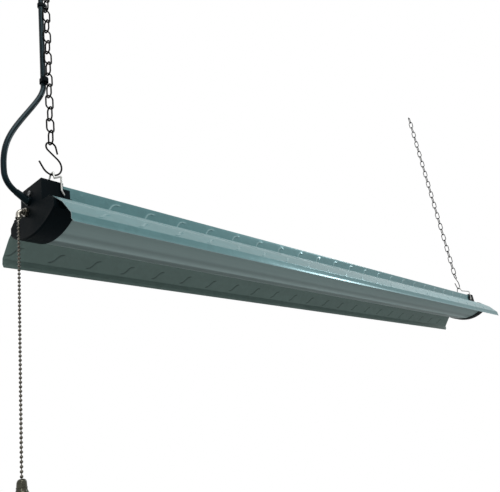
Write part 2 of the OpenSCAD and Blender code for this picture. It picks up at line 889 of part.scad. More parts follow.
module elbow_turn(r) {
    translate([nozzle_x, switch_y, switch_z - elbow_r]) rotate([90, 0, 0]) rotate([0, 0, 90])
        rotate_extrude(angle = 90, $fn = 64) translate([elbow_r, 0]) circle(r = r);
}

// ---- Pull chain ----
function bead_z(i) = first_bead_z - i * bead_pitch;
bead_pin_r = 0.5;
neck_beads = 2;
last_bead = bead_count - 1;

// Beads from a to b on their pins; a pin below the last one stops short of what hangs there
module beads(a, b, pin_below) {
    pin_end = bead_z(b) - bead_pitch + bead_d / 2 + 0.2;
    color("#b9bcbd") translate([pull_x, switch_y, 0]) {
        for (i = [a : b]) translate([0, 0, bead_z(i)]) sphere(d = bead_d, $fn = 20);
        translate([0, 0, pin_below ? pin_end : bead_z(b)])
            cylinder(h = bead_z(a) - (pin_below ? pin_end : bead_z(b)), r = bead_pin_r, $fn = 16);
    }
}

module pull_bell() {
    top = bead_z(last_bead) - bead_d / 2 - 0.1;
    color("#5a4632") translate([pull_x, switch_y, top]) rotate_extrude($fn = 48)
        polygon([
            [1.0, 0], [2.6, -0.6], [3.1, -2], [3.5, -3.4], [5.2, -6], [6.1, -9.5],
            [6.2, -12], [5.8, -13.2], [7, -14.6], [7, -16], [5.6, -17], [3, -18.6], [0, -19],
            [0, -3], [1, -2.4]
        ]);
}

// ---- Supply cord ----
// Route of the free loop in the plane y = cord_y: [x, z] points, after the strain relief
loop_route = [
    [-21.3, -5.4], [-24.5, -2.2], [-27.1, 1.5], [-29, 5.6], [-30.2, 10], [-30.7, 14.5],
    [-30.95, 20], [-30.9, 28], [-29.9, 38], [-27.7, 48], [-24.1, 58.5], [-18.5, 70.5],
    [-10.7, 84.5], [-2.6, 98], [5.5, 111.5], [11.6, 122.5], [15.7, 131.5], [17.8, 138.5]
];
riser_start_z = 146;
relief_axis = [-cos(relief_angle), sin(relief_angle)];
relief_tip = [relief_knee_x, relief_z] + relief_tail * relief_axis;
loop_path = [
    for (p = concat([relief_tip, relief_tip + relief_axis], loop_route,
        [[cord_x, riser_start_z - 4], [cord_x, riser_start_z]]))
    [p[0], cord_y, p[1]]
];
riser_path = [for (z = [riser_start_z : 14 : coil_z - cord_d - 4]) [cord_x, cord_y, z]];
coil_rings = 24;
coil_path = concat(
    [[cord_x, cord_y, coil_z - cord_d]],
    [for (k = [0 : coil_turns * coil_rings])
        let (a = 360 * k / coil_rings)
        [coil_x + coil_r * cos(a), cord_y + coil_step * k / coil_rings, coil_z + coil_r * sin(a)]],
    [[coil_end_x, coil_end_y, coil_z - cord_end]]
);

function path_length(p) = len(p) < 2 ? 0
    : [for (i = 0, s = 0; i < len(p); i = i + 1,
        s = s + (i < len(p) ? norm(p[i] - p[i - 1]) : 0)) s][len(p) - 1];

// Least distance between points of the coil that are at least half a turn apart
coil_gap = min([for (i = [0 : len(coil_path) - 1], j = [i + coil_rings / 2 : len(coil_path) - 1])
    norm(coil_path[j] - coil_path[i])]) - cord_d;
echo(coil_gap = coil_gap, loop_len = path_length(loop_path), coil_len = path_length(coil_path),
    cord_len = path_length(loop_path) + coil_z - cord_d - riser_start_z + path_length(coil_path));

module cord_loop() {
    color("#16181a") tube(loop_path, cord_r, 12);
}

module cord_riser() {
    color("#16181a") tube(concat(riser_path, [[cord_x, cord_y, coil_z - cord_d]]), cord_r, 12);
}

module cord_coil() {
    color("#16181a") tube(coil_path, cord_r, 6);
}

module lower_cord_tie() {
    color("#111214") translate([0, 0, link_low_z(5) + link_len / 2 - 2.5])
        strap([cord_x, cord_y], [cord_x, link_d_half], cord_r + 0.12, 1, 6);
}

module upper_cord_tie() {
    color("#111214") translate([0, 0, link_low_z(12) + link_len / 2 + 1])
        strap([cord_x, cord_y], [bail_x - link_d_half, cord_y], cord_r + 0.12, 1, 4.6);
}

module coil_tie() {
    color("#111214") translate([0, 0, coil_z])
        strap([cord_x, coil_end_y - coil_step / 2], [cord_x, link_d_half], cord_r + 0.4, 1.2, 7);
}

plug_len = 38;
blade_y = 4.9;                                // the blades' offset; the round pin is 11.9 off
ground_pin_len = 20;
plug_top_z = coil_z - cord_end;
plug_low_z = plug_top_z - plug_len;

module plug_body() {
    color("#16181a") translate([coil_end_x, coil_end_y, 0]) difference() {
        union() {
            translate([0, 0, plug_top_z - 16]) cylinder(h = 16, r1 = 7.5, r2 = cord_r + 1);
            translate([0, 0, plug_low_z]) intersection() {
                linear_extrude(plug_len - 14) rounded_plug(plug_w / 2);
                translate([0, 0, plug_w * 0.2]) sphere(r = plug_w * 0.98, $fn = 64);
            }
        }
        for (side = [-1, 1])
            translate([side * 6.35 - 0.9, blade_y - 3.3, plug_low_z - 1]) cube([1.8, 6.6, 5]);
    }
}

module rounded_plug(r) {
    intersection() {
        circle(r = r, $fn = 48);
        translate([-r, -r * 0.86]) square([2 * r, r * 1.78]);
    }
}

module plug_blades() {
    color("#c9b06a") translate([coil_end_x, coil_end_y, 0])
        for (side = [-1, 1])
            translate([side * 6.35 - 0.75, blade_y - 3.15, plug_low_z - 17])
                cube([1.5, 6.3, 20.9]);
}

module plug_ground_pin() {
    color("#c9b06a")
        translate([coil_end_x, coil_end_y + blade_y - 11.9, plug_low_z - 0.05 - ground_pin_len])
        cylinder(h = ground_pin_len, r = ground_pin_r);
}

// ---- The whole light, moved to its hanging point ----
module hung() {
    translate([-bail_x, 0, -hang_z]) children();
}

hung() top_link(bail_x);  // near_top_link
hung() top_link(far_bail_x);  // far_top_link
hung() second_link(bail_x);  // near_second_link
hung() second_link(far_bail_x);  // far_second_link
hung() chain(bail_x);  // near_chain
hung() chain(far_bail_x);  // far_chain
hung() s_hook(bail_x);  // near_s_hook
hung() s_hook(far_bail_x);  // far_s_hook
hung() bail(bail_x);  // near_bail
hung() at_far_end() bail(bail_x);  // far_bail
hung() reflector();
hung() near_end_plate();
hung() far_end_plate();
hung() near_end_cap();
hung() far_end_cap();
hung() end_cap_screws();
hung() lens();
hung() led_tray();
hung() tray_screws();
hung() led_boards();
hung() led_chips();
hung() driver_case();
hung() driver_lid();
hung() driver_screws();
hung() supply_leads();
hung() light_leads();
hung() ground_screw();
hung() strain_relief();
hung() strain_relief_nut();
hung() switch_body();
hung() switch_cover();
hung() switch_plunger();
hung() switch_barrel();
hung() switch_nut();
hung() switch_elbow();
hung() beads(0, neck_beads - 1, true);  // pull_chain_neck
hung() beads(neck_beads, neck_beads, true);  // pull_chain_first_bead
hung() beads(neck_beads + 1, last_bead, false);  // pull_chain
hung() pull_bell();
hung() cord_loop();
hung() cord_riser();
hung() cord_coil();
hung() lower_cord_tie();
hung() upper_cord_tie();
hung() coil_tie();
hung() plug_body();
hung() plug_blades();
hung() plug_ground_pin();
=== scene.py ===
"""Looks of the hanging shop light: camera, cord, embossed sheet, bell, finishes and room."""
import json
import math

import bpy
import numpy as np
from mathutils import Matrix, Vector


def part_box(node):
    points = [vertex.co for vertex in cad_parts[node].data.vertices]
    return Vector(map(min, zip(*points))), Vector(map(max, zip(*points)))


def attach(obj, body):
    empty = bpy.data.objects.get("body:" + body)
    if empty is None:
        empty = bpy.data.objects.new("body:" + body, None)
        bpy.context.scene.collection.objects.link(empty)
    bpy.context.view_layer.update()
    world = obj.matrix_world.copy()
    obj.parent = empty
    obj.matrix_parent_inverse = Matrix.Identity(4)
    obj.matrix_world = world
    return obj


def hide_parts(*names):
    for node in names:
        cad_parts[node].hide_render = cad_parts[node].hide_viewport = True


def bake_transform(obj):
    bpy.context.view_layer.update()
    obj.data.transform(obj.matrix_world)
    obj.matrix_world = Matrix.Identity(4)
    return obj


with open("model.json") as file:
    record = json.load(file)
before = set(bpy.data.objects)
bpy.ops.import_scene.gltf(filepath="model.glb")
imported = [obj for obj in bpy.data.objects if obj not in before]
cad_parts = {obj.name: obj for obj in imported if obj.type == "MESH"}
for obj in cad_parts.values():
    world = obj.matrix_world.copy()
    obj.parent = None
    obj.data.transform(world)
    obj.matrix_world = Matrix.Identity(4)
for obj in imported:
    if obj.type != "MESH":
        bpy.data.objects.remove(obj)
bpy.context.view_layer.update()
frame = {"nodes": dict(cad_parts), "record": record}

MM = 0.001
BAIL_X = 23.0                     # near bail, from the sheet's end
HANG_Z = 552.0                    # seat of the top link above the channel's crown


def place(x, y, z):
    """A point given in the fixture's millimetres, in the row frame."""
    return Vector(((x - BAIL_X) * MM, y * MM, (z - HANG_Z) * MM))


# ---- Camera ----
# The lens, where it stands and which way it looks, solved from the sheet's edges and ends.
SENSOR_WIDTH, FOCAL_LENGTH = 36.0, 41.083
CAMERA_AT = (-289.116, -517.341, -309.945)
CAMERA_RIGHT = (0.660596, -0.735349, -0.151244)
CAMERA_UP = (-0.165021, -0.338762, 0.926288)
CAMERA_BACK = (-0.732381, -0.586943, -0.345133)


def add_camera():
    data = bpy.data.cameras.new("camera")
    data.sensor_fit = "HORIZONTAL"
    data.sensor_width = SENSOR_WIDTH
    data.lens = FOCAL_LENGTH
    camera = bpy.data.objects.new("camera", data)
    bpy.context.scene.collection.objects.link(camera)
    turn = Matrix((CAMERA_RIGHT, CAMERA_UP, CAMERA_BACK)).transposed().to_4x4()
    camera.matrix_world = Matrix.Translation(place(*CAMERA_AT)) @ turn
    bpy.context.scene.camera = camera


add_camera()

# ---- Supply cord ----
CORD_D = 6.4
CORD_SIDES, CORD_SPAN_STEPS = 20, 3
CORD_X, CORD_Y = 18.4, 4.6        # where it runs up beside the near chain
RISER_Z, RISER_STEP = 146, 20
COIL_Z, COIL_R, COIL_TURNS = 446.0, 35.5, 4.5
COIL_STEP, COIL_RINGS = 7.0, 24   # sideways shift and points, each per turn
CORD_END = 45.0                   # from the coil down to the plug
RELIEF_X, RELIEF_Z = -4.6, -15.5  # root of the strain relief
RELIEF_ANGLE, RELIEF_TAIL = math.radians(30), 15.0
# the free loop from the strain relief up to the chain, as x and z
LOOP = [
    (-21.3, -5.4), (-24.5, -2.2), (-27.1, 1.5), (-29, 5.6), (-30.2, 10), (-30.7, 14.5),
    (-30.95, 20), (-30.9, 28), (-29.9, 38), (-27.7, 48), (-24.1, 58.5), (-18.5, 70.5),
    (-10.7, 84.5), (-2.6, 98), (5.5, 111.5), (11.6, 122.5), (15.7, 131.5), (17.8, 138.5),
    (18.4, 142),
]


def smooth(points, per_span):
    """A Catmull-Rom curve through the points."""
    out = []
    for i in range(len(points) - 1):
        p0 = points[max(i - 1, 0)]
        p1, p2 = points[i], points[i + 1]
        p3 = points[min(i + 2, len(points) - 1)]
        for k in range(per_span):
            t = k / per_span
            out.append(0.5 * ((2 * p1) + (p2 - p0) * t
                              + (2 * p0 - 5 * p1 + 4 * p2 - p3) * t * t
                              + (3 * p1 - p0 - 3 * p2 + p3) * t ** 3))
    out.append(points[-1])
    return out


def new_object(name, verts, faces, smooth_shading=True):
    mesh = bpy.data.meshes.new(name)
    mesh.from_pydata([tuple(v) for v in verts], [], faces)
    mesh.validate()
    if smooth_shading:
        mesh.polygons.foreach_set("use_smooth", [True] * len(mesh.polygons))
    mesh.update()
    obj = bpy.data.objects.new(name, mesh)
    bpy.context.scene.collection.objects.link(obj)
    return obj


def tube(name, path, radius, sides):
    """A closed tube along a path; its rings turn with the least twist."""
    verts, faces = [], []
    tangents = [(path[min(i + 1, len(path) - 1)] - path[max(i - 1, 0)]).normalized()
                for i in range(len(path))]
    across = Vector((0, 1, 0))
    for p, t in zip(path, tangents):
        across = (across - across.dot(t) * t).normalized()
        other = t.cross(across)
        for k in range(sides):
            a = 2 * math.pi * k / sides
            verts.append(p + radius * (math.cos(a) * across + math.sin(a) * other))
    for i in range(len(path) - 1):
        for k in range(sides):
            n = (k + 1) % sides
            faces.append((i * sides + k, i * sides + n, (i + 1) * sides + n, (i + 1) * sides + k))
    faces.append(tuple(range(sides))[::-1])
    faces.append(tuple((len(path) - 1) * sides + k for k in range(sides)))
    return new_object(name, verts, faces)


def cord_route():
    """From the strain relief round the loop, up the chain, round the coil and down to the plug."""
    ahead = (-math.cos(RELIEF_ANGLE), math.sin(RELIEF_ANGLE))
    route = [place(RELIEF_X + reach * ahead[0], CORD_Y, RELIEF_Z + reach * ahead[1])
             for reach in (RELIEF_TAIL, RELIEF_TAIL + 1)]
    route += [place(x, CORD_Y, z) for x, z in LOOP]
    route += [place(CORD_X, CORD_Y, z)
              for z in range(RISER_Z, int(COIL_Z - CORD_D), RISER_STEP)]
    route.append(place(CORD_X, CORD_Y, COIL_Z - CORD_D))
    for k in range(int(COIL_TURNS * COIL_RINGS) + 1):
        a = 2 * math.pi * k / COIL_RINGS
        route.append(place(CORD_X - COIL_R + COIL_R * math.cos(a),
                           CORD_Y + COIL_STEP * k / COIL_RINGS,
                           COIL_Z + COIL_R * math.sin(a)))
    end = route[-1]
    for drop in (CORD_D, 2 * CORD_D, CORD_END - CORD_D, CORD_END):
        route.append(end - Vector((0, 0, drop * MM)))
    return route


def add_cord():
    """The whole supply cord as one smooth tube."""
    path = smooth(cord_route(), CORD_SPAN_STEPS)
    cord = tube("supply_cord", path, CORD_D / 2 * MM, CORD_SIDES)
    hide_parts("cord_loop", "cord_riser", "cord_coil")
    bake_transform(cord)
    return cord


supply_cord = add_cord()


# ---- Embossed reflector sheet ----
SHEET_LEN, SHEET_T = 1219.0, 0.6
SHEET_COLUMNS = 1016              # points along the sheet
FOLD_R, FOLD_STEPS = 2.0, 5
SHARP_FOLD = math.radians(40)     # edges that turn more than this aren't shaded smooth
WALL_Y = 20.0                     # the channel's walls
# half of the bent section, from the channel's crown to the lip's hem, as y and z
HALF_PROFILE = [
    (WALL_Y, -0.5), (WALL_Y, -27.0), (38.5, -27.0), (55.5, -40.282), (70.4, -58.682),
    (70.75, -65.4), (72.0, -68.682),
]
# points across the sheet: their spacing beside a row of marks, how far from the row it
# holds, and the least distance between any two
STATION_STEP, STATION_REACH, STATION_GAP = 1.0, 9.0, 0.25
MARK_PITCH = 52.4
MARK_WIDTH, MARK_HEIGHT = 1.0, 0.75
MARK_SKIRT = 0.35                 # the half width that is left at a mark's tips
MARK_CREST, MARK_END_FALL = 1.5, 0.7           # how sharp it is across and at its ends
MARK_OVERRUN, MARK_END_SPAN = 1.06, 0.3        # where it ends and how soon, in half lengths
MARK_MARGIN = 4.0                 # how far a mark may run past the sheet's end
WALL_ROWS = 46.0                  # rows nearer to the middle than this lie on the walls
# row of tread marks: distance across the flat sheet from its middle, first mark, slant,
# length and drop of a mark, how strongly it hooks, how strongly its painted highlight (outside)
# and painted shade (in the dents inside) are laid on
MARK_ROWS = [
    (-98.6, 43.0, 1, 22.0, 12.0, 2.2, 0.5), (-76.0, 33.0, -1, 22.0, 12.0, 2.2, 0.9),
    (-33.6, 31.8, 1, 34.0, 15.0, 3.2, 1.0), (33.6, 8.0, 1, 34.0, 15.0, 3.2, 1.0),
    (76.0, 33.0, -1, 22.0, 12.0, 2.2, 1.0), (98.6, 11.3, 1, 20.0, 12.0, 2.2, 1.0),
]
CAP_REACH, CAP_FADE = 45.0, 2.0   # the end caps cover the walls this far in
CORNER_R = 2.0                    # of the lips' lower corners
BAIL_HOLES_X = (BAIL_X, SHEET_LEN - BAIL_X)
BAIL_HOLE_R = 1.6
PIVOT_Z = -14.0                   # height of the bails' holes


def rounded_outline(points, radius, steps):
    """The open outline with its inner corners rounded."""
    out = [np.array(points[0], float)]
    for a, b, c in zip(points, points[1:], points[2:]):
        a, b, c = (np.array(p, float) for p in (a, b, c))
        u = (a - b) / np.linalg.norm(a - b)
        w = (c - b) / np.linalg.norm(c - b)
        half = math.acos(float(u @ w)) / 2
        reach = radius / math.tan(half)
        centre = b + (u + w) / np.linalg.norm(u + w) * radius / math.sin(half)
        start, stop = b + u * reach - centre, b + w * reach - centre
        a0 = math.atan2(start[1], start[0])
        turn = (math.atan2(stop[1], stop[0]) - a0 + 3 * math.pi) % (2 * math.pi) - math.pi
        out += [centre + radius * np.array([math.cos(a0 + turn * k / steps),
                                            math.sin(a0 + turn * k / steps)])
                for k in range(steps + 1)]
    out.append(np.array(points[-1], float))
    return np.array(out)


def sheet_stations(outline):
    """Distances across the flat sheet: those of the outline's points, then those of all the
    columns of points, which lie closer at the marks."""
    at = np.concatenate([[0], np.cumsum(np.linalg.norm(np.diff(outline, axis=0), axis=1))])
    at -= at[-1] / 2
    count = int(STATION_REACH / STATION_STEP)
    fine = [row[0] + k * STATION_STEP for row in MARK_ROWS for k in range(-count, count + 1)]
    every = sorted(set(np.round(at, 3)) | set(np.round(fine, 3)))
    keep = [every[0]]
    for u in every[1:]:
        if u - keep[-1] > STATION_GAP:
            keep.append(u)
    keep[-1] = every[-1]
    return at, np.array(keep)


def mark_height(x, u):
    """How far the embossing stands out at x along and u across the flat sheet, and how
    strongly the marks' painted highlight and painted shade are laid on there."""
    height, painted_mark_shading = np.zeros_like(x), np.zeros_like(x)
    # wear here sets how strongly a row is painted: a painted highlight outside, painted shade in
    # the dents inside
    for row, first, slant, length, drop, hook, wear in MARK_ROWS:
        side = 1 if row > 0 else -1
        near = (x - first + MARK_PITCH / 2) % MARK_PITCH - MARK_PITCH / 2
        index = np.round((x - near - first) / MARK_PITCH)
        t = near / (length / 2)
        across = (u - row) * side * -slant
        s = np.clip(t, -1, 1)
        line = drop / 2 * np.tanh(hook * s) / math.tanh(hook)
        steep = 1 + (drop / length * hook / math.tanh(hook) / np.cosh(hook * s) ** 2) ** 2
        off = (across - line) / np.sqrt(steep)
        width = MARK_WIDTH * np.clip(1 - np.abs(t) ** 3, 0, 1) ** 0.5 + MARK_SKIRT
        shape = np.clip(1 - (off / width) ** 2, 0, 1) ** MARK_CREST
        ends = np.clip((MARK_OVERRUN - np.abs(t)) / MARK_END_SPAN, 0, 1)
        centre = first + index * MARK_PITCH
        margin = length / 2 - MARK_MARGIN
        inside = 1.0 * ((centre > margin) & (centre < SHEET_LEN - margin))
        if abs(row) < WALL_ROWS:
            inside *= np.clip((np.minimum(x, SHEET_LEN - x) - CAP_REACH) / CAP_FADE, 0, 1)
        mark = shape * ends ** MARK_END_FALL * inside
        height = np.maximum(height, MARK_HEIGHT * mark)
        painted_mark_shading = np.maximum(painted_mark_shading, wear * mark)
    return height, painted_mark_shading


def lip_ends(x, u, edge):
    """Draws the lips' lower corners in along x, so that they are rounded."""
    depth = np.clip(CORNER_R - (edge - np.abs(u)), 0, CORNER_R)
    inset = CORNER_R - np.sqrt(CORNER_R ** 2 - depth ** 2)
    reach = 3 * CORNER_R
    near = np.clip(1 - x / reach, 0, 1)
    far = np.clip(1 - (SHEET_LEN - x) / reach, 0, 1)
    return x + inset * (near - far)


def sheet_faces(grid_x, ys, zs):
    """The corners of all faces: the outer skin, the inner skin and the rims that join them,
    without the cells at the bails' holes; and how many faces one skin has."""
    nx, nu = grid_x.shape
    cell = np.arange(nx * nu).reshape(nx, nu)
    a, b = cell[:-1, :-1].ravel(), cell[1:, :-1].ravel()
    c, d = cell[1:, 1:].ravel(), cell[:-1, 1:].ravel()
    middle_x = (grid_x[:-1, :-1] + grid_x[1:, 1:]).ravel() / 2
    middle_z = np.tile((zs[:-1] + zs[1:]) / 2, nx - 1)
    on_wall = np.tile(np.abs(np.abs(ys[:-1]) - WALL_Y) < 1, nx - 1)
    keep = np.ones(len(a), bool)
    for hole in BAIL_HOLES_X:
        keep &= ~(on_wall & (np.hypot(middle_x - hole, middle_z - PIVOT_Z) < BAIL_HOLE_R))
    a, b, c, d = a[keep], b[keep], c[keep], d[keep]
    n = nx * nu
    faces = [np.stack([a, d, c, b], axis=1), np.stack([a + n, b + n, c + n, d + n], axis=1)]
    for line, flipped in ((cell[0], False), (cell[-1], True), (cell[:, 0], True),
                          (cell[:, -1], False)):
        e, g = line[:-1], line[1:]
        rim = np.stack([e, e + n, g + n, g], axis=1)
        faces.append(rim[:, ::-1] if flipped else rim)
    return np.concatenate(faces), len(a)


def quad_mesh(name, verts, faces):
    """A mesh of four-cornered faces, straight from arrays."""
    mesh = bpy.data.meshes.new(name)
    mesh.vertices.add(len(verts))
    mesh.vertices.foreach_set("co", verts.ravel())
    mesh.loops.add(faces.size)
    mesh.loops.foreach_set("vertex_index", faces.ravel())
    mesh.polygons.add(len(faces))
    mesh.polygons.foreach_set("loop_start", np.arange(0, faces.size, 4))
    mesh.polygons.foreach_set("loop_total", np.full(len(faces), 4))
    return mesh


def add_sheet():
    """The bent sheet with its embossed marks: finish 0 outside, 1 inside, 2 on the rims."""
    points = [(-y, z) for y, z in HALF_PROFILE[::-1]] + HALF_PROFILE
    outline = rounded_outline(points, FOLD_R, FOLD_STEPS)
    at, us = sheet_stations(outline)
    ys, zs = np.interp(us, at, outline[:, 0]), np.interp(us, at, outline[:, 1])
    ty, tz = np.gradient(ys), np.gradient(zs)
    size = np.hypot(ty, tz)
    ny, nz = -tz / size, ty / size
    xs = np.linspace(0, SHEET_LEN, SHEET_COLUMNS)
    grid_x, grid_u = np.meshgrid(xs, us, indexing="ij")
    out, painted_mark_shading = mark_height(grid_x, grid_u)
    grid_x = lip_ends(grid_x, grid_u, us[-1])
    layers = []
    for depth in (0.0, SHEET_T):
        lift = out - depth
        layers.append(np.stack([grid_x, ys + lift * ny, zs + lift * nz], axis=-1).reshape(-1, 3))
    verts = (np.concatenate(layers) - np.array([BAIL_X, 0, HANG_Z])) * MM
    faces, skin = sheet_faces(grid_x, ys, zs)
    mesh = quad_mesh("embossed_sheet", verts, faces)
    finish = np.full(len(faces), 2, np.int32)
    finish[:skin] = 0
    finish[skin:2 * skin] = 1
    mesh.polygons.foreach_set("material_index", finish)
    # how strongly each point takes the marks' painted highlight and painted shade
    emboss = mesh.attributes.new("emboss", "FLOAT", "POINT")
    emboss.data.foreach_set("value", np.tile(painted_mark_shading.ravel(), 2).astype(np.float32))
    mesh.update(calc_edges=True)
    mesh.polygons.foreach_set("use_smooth", [True] * len(mesh.polygons))
    mesh.set_sharp_from_angle(angle=SHARP_FOLD)
    bent = bpy.data.objects.new("embossed_sheet", mesh)
    bpy.context.scene.collection.objects.link(bent)
    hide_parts("reflector")
    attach(bent, "housing")
    return bent


embossed_sheet = add_sheet()


# ---- Bell at the end of the pull chain ----
BELL_SIDES, SHARP_TURN = 48, math.radians(35)
# radius and height below the top, down the outside and back up the inside
BELL_PROFILE = [
    (1.0, 0), (2.3, -0.25), (3.4, -0.9), (4.15, -2.0), (4.5, -3.4), (4.65, -5.6), (4.75, -7.0),
    (5.1, -7.3), (5.1, -8.0), (4.85, -8.3), (5.1, -9.6), (5.7, -11.0), (6.4, -12.2),
    (6.9, -13.0), (6.9, -13.5), (6.5, -13.6), (5.9, -12.5), (5.0, -11.0), (4.4, -9.4),
    (4.1, -6.0), (3.8, -3.4), (3.0, -2.0), (1.0, -1.5),
]


def add_bell():
    """A turned bell: dome, ring, flared mouth, hollow from below."""
    low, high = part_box("pull_bell")
    middle, top = (low + high) / 2, high.z
    sides = BELL_SIDES
    verts = [(middle.x + r * MM * math.cos(2 * math.pi * k / sides),
              middle.y + r * MM * math.sin(2 * math.pi * k / sides), top + z * MM)
             for r, z in BELL_PROFILE for k in range(sides)]
    faces = [(i * sides + k, (i + 1) * sides + k,
              (i + 1) * sides + (k + 1) % sides, i * sides + (k + 1) % sides)
             for i in range(len(BELL_PROFILE) - 1) for k in range(sides)]
    faces.append(tuple(range(sides)))
    faces.append(tuple((len(BELL_PROFILE) - 1) * sides + k for k in range(sides))[::-1])
    bell = new_object("turned_bell", verts, faces)
    bell.data.set_sharp_from_angle(angle=SHARP_TURN)
    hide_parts("pull_bell")
    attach(bell, "pull_hanging")
    return bell


turned_bell = add_bell()


# ---- Finishes ----
CLOUD = (0.28, 0.72)              # where a noise is taken as low and as high
SPECK = (0.3, 0.7)
SPECK_SHADE = 0.85                # how dark the second colour's own specks are
SPECK_SCALE = 600                 # of those on the tread marks
LEAST_ROUGH = 0.04


class Surface:
    """A procedural material, built up from one colour by mottling, wear, grain and lines."""

    def __init__(self, name, colour, rough, metal=0.0, specular=0.5, stretch=(1, 1, 1)):
        self.material = bpy.data.materials.new(name)
        self.material.use_nodes = True
        self.nodes, self.links = self.material.node_tree.nodes, self.material.node_tree.links
        self.shader = self.nodes["Principled BSDF"]
        self.shader.inputs["Metallic"].default_value = metal
        self.shader.inputs["Specular IOR Level"].default_value = specular
        place_in = self.nodes.new("ShaderNodeTexCoord")
        mapping = self.nodes.new("ShaderNodeMapping")
        mapping.inputs["Scale"].default_value = stretch
        self.links.new(place_in.outputs["Object"], mapping.inputs["Vector"])
        self.straight, self.stretched = place_in.outputs["Object"], mapping.outputs["Vector"]
        self.colour, self.rough = colour, rough
        self.tone = self.gloss = self.height = None

    def noise(self, scale, detail=5, stretched=True):
        node = self.nodes.new("ShaderNodeTexNoise")
        node.inputs["Scale"].default_value = scale
        node.inputs["Detail"].default_value = detail
        self.links.new(self.stretched if stretched else self.straight, node.inputs["Vector"])
        return node.outputs["Fac"]

    def ramp(self, value, stops):
        node = self.nodes.new("ShaderNodeValToRGB")
        elements = node.color_ramp.elements
        while len(elements) < len(stops):
            elements.new(0.5)
        for element, (position, colour) in zip(elements, stops):
            element.position = position
            element.color = (*colour, 1)
        self.links.new(value, node.inputs["Fac"])
        return node.outputs["Color"]

    def spread(self, value, low, high, low_in=0.25, high_in=0.75):
        node = self.nodes.new("ShaderNodeMapRange")
        node.inputs["From Min"].default_value = low_in
        node.inputs["From Max"].default_value = high_in
        node.inputs["To Min"].default_value = low
        node.inputs["To Max"].default_value = high
        self.links.new(value, node.inputs["Value"])
        return node.outputs["Result"]

    def mixed(self, first, second, factor):
        node = self.nodes.new("ShaderNodeMix")
        node.data_type = "RGBA"
        self.links.new(first, node.inputs["A"])
        self.links.new(second, node.inputs["B"])
        self.links.new(factor, node.inputs["Factor"])
        return node.outputs["Result"]

    def specked(self, scale, colour):
        """A colour with fine darker specks."""
        return self.ramp(self.noise(scale), [(SPECK[0], [v * SPECK_SHADE for v in colour]),
                                             (SPECK[1], colour)])

    def mottle(self, scale, amount, rough_amount=0.07):
        """Cloudy changes of colour and roughness."""
        value = self.noise(scale)
        c = self.colour
        self.tone = self.ramp(value, [(CLOUD[0], [v * (1 - amount) for v in c]),
                                      (CLOUD[1], [min(v * (1 + amount), 1) for v in c])])
        self.links.new(self.tone, self.shader.inputs["Base Color"])
        self.gloss = self.spread(value, max(self.rough - rough_amount, LEAST_ROUGH),
                                 min(self.rough + rough_amount, 1))
        self.links.new(self.gloss, self.shader.inputs["Roughness"])
        return self

    def flecks(self, scale, colour, low, high, stretched=False):
        """Patches of a second colour where a finer noise is high, such as wear or dust."""
        patch = self.nodes.new("ShaderNodeMapRange")
        patch.inputs["From Min"].default_value = low
        patch.inputs["From Max"].default_value = high
        self.links.new(self.noise(scale, 8, stretched), patch.inputs["Value"])
        plain = self.specked(scale * 3, colour)
        self.tone = self.mixed(self.tone, plain, patch.outputs["Result"])
        self.links.new(self.tone, self.shader.inputs["Base Color"])
        return self

    def spangle(self, scale, amount):
        """The crystal facets of zinc."""
        cells = self.nodes.new("ShaderNodeTexVoronoi")
        cells.inputs["Scale"].default_value = scale
        self.links.new(self.straight, cells.inputs["Vector"])
        shade = self.ramp(cells.outputs["Color"], [(0.2, [1 - amount] * 3), (0.8, [1] * 3)])
        return self.multiplied(shade)

    def painted_bands(self, axis, low, high, stops):
        """Tones in bands along an axis: painted light and shade."""
        split = self.nodes.new("ShaderNodeSeparateXYZ")
        self.links.new(self.straight, split.inputs["Vector"])
        value = self.spread(split.outputs[axis], 0, 1, low, high)
        return self.multiplied(self.ramp(value, [(at, [tone] * 3) for at, tone in stops]))

    def paint_marks(self, colour, rough):
        """The tread marks' painted colour and their roughness, as far as the emboss attribute lays
        them on: a painted highlight outside, painted shade in the dents inside.
        """
        mark = self.nodes.new("ShaderNodeAttribute")
        mark.attribute_name = "emboss"
        amount = self.spread(mark.outputs["Fac"], 0, 1, 0.1, 0.9)
        plain = self.specked(SPECK_SCALE, colour)
        self.tone = self.mixed(self.tone, plain, amount)
        self.links.new(self.tone, self.shader.inputs["Base Color"])
        node = self.nodes.new("ShaderNodeMapRange")
        node.inputs["To Max"].default_value = rough
        self.links.new(amount, node.inputs["Value"])
        self.links.new(self.gloss, node.inputs["To Min"])
        self.links.new(node.outputs["Result"], self.shader.inputs["Roughness"])
        return self

    def multiplied(self, shade):
        """The tone so far, darkened by a shade."""
        node = self.nodes.new("ShaderNodeMix")
        node.data_type = "RGBA"
        node.blend_type = "MULTIPLY"
        node.inputs["Factor"].default_value = 1
        self.links.new(self.tone, node.inputs["A"])
        self.links.new(shade, node.inputs["B"])
        self.tone = node.outputs["Result"]
        self.links.new(self.tone, self.shader.inputs["Base Color"])
        return self

    def grain(self, scale, strength, distance=0.0003, stretched=False):
        """A fine bump, laid over what is there."""
        bump = self.nodes.new("ShaderNodeBump")
        bump.inputs["Strength"].default_value = strength
        bump.inputs["Distance"].default_value = distance
        self.links.new(self.noise(scale, 3, stretched), bump.inputs["Height"])
        if self.height:
            self.links.new(self.height, bump.inputs["Normal"])
        self.height = bump.outputs["Normal"]
        self.links.new(self.height, self.shader.inputs["Normal"])
        return self

    def tinted(self, colour):
        """The colour of its highlights."""
        self.shader.inputs["Specular Tint"].default_value = (*colour, 1)
        return self

    def sheen(self, weight, rough, tint):
        """A paler edge, as frosted plastic shows it."""
        self.shader.inputs["Sheen Weight"].default_value = weight
        self.shader.inputs["Sheen Roughness"].default_value = rough
        self.shader.inputs["Sheen Tint"].default_value = (*tint, 1)
        return self


def enamelled_wire():
    return (Surface("black_enamel_wire", (0.003, 0.003, 0.003), 0.45, specular=0.06)
            .mottle(90, 0.35).flecks(260, (0.03, 0.024, 0.018), 0.64, 0.78)
            .grain(900, 0.25).grain(160, 0.2, 0.0006))


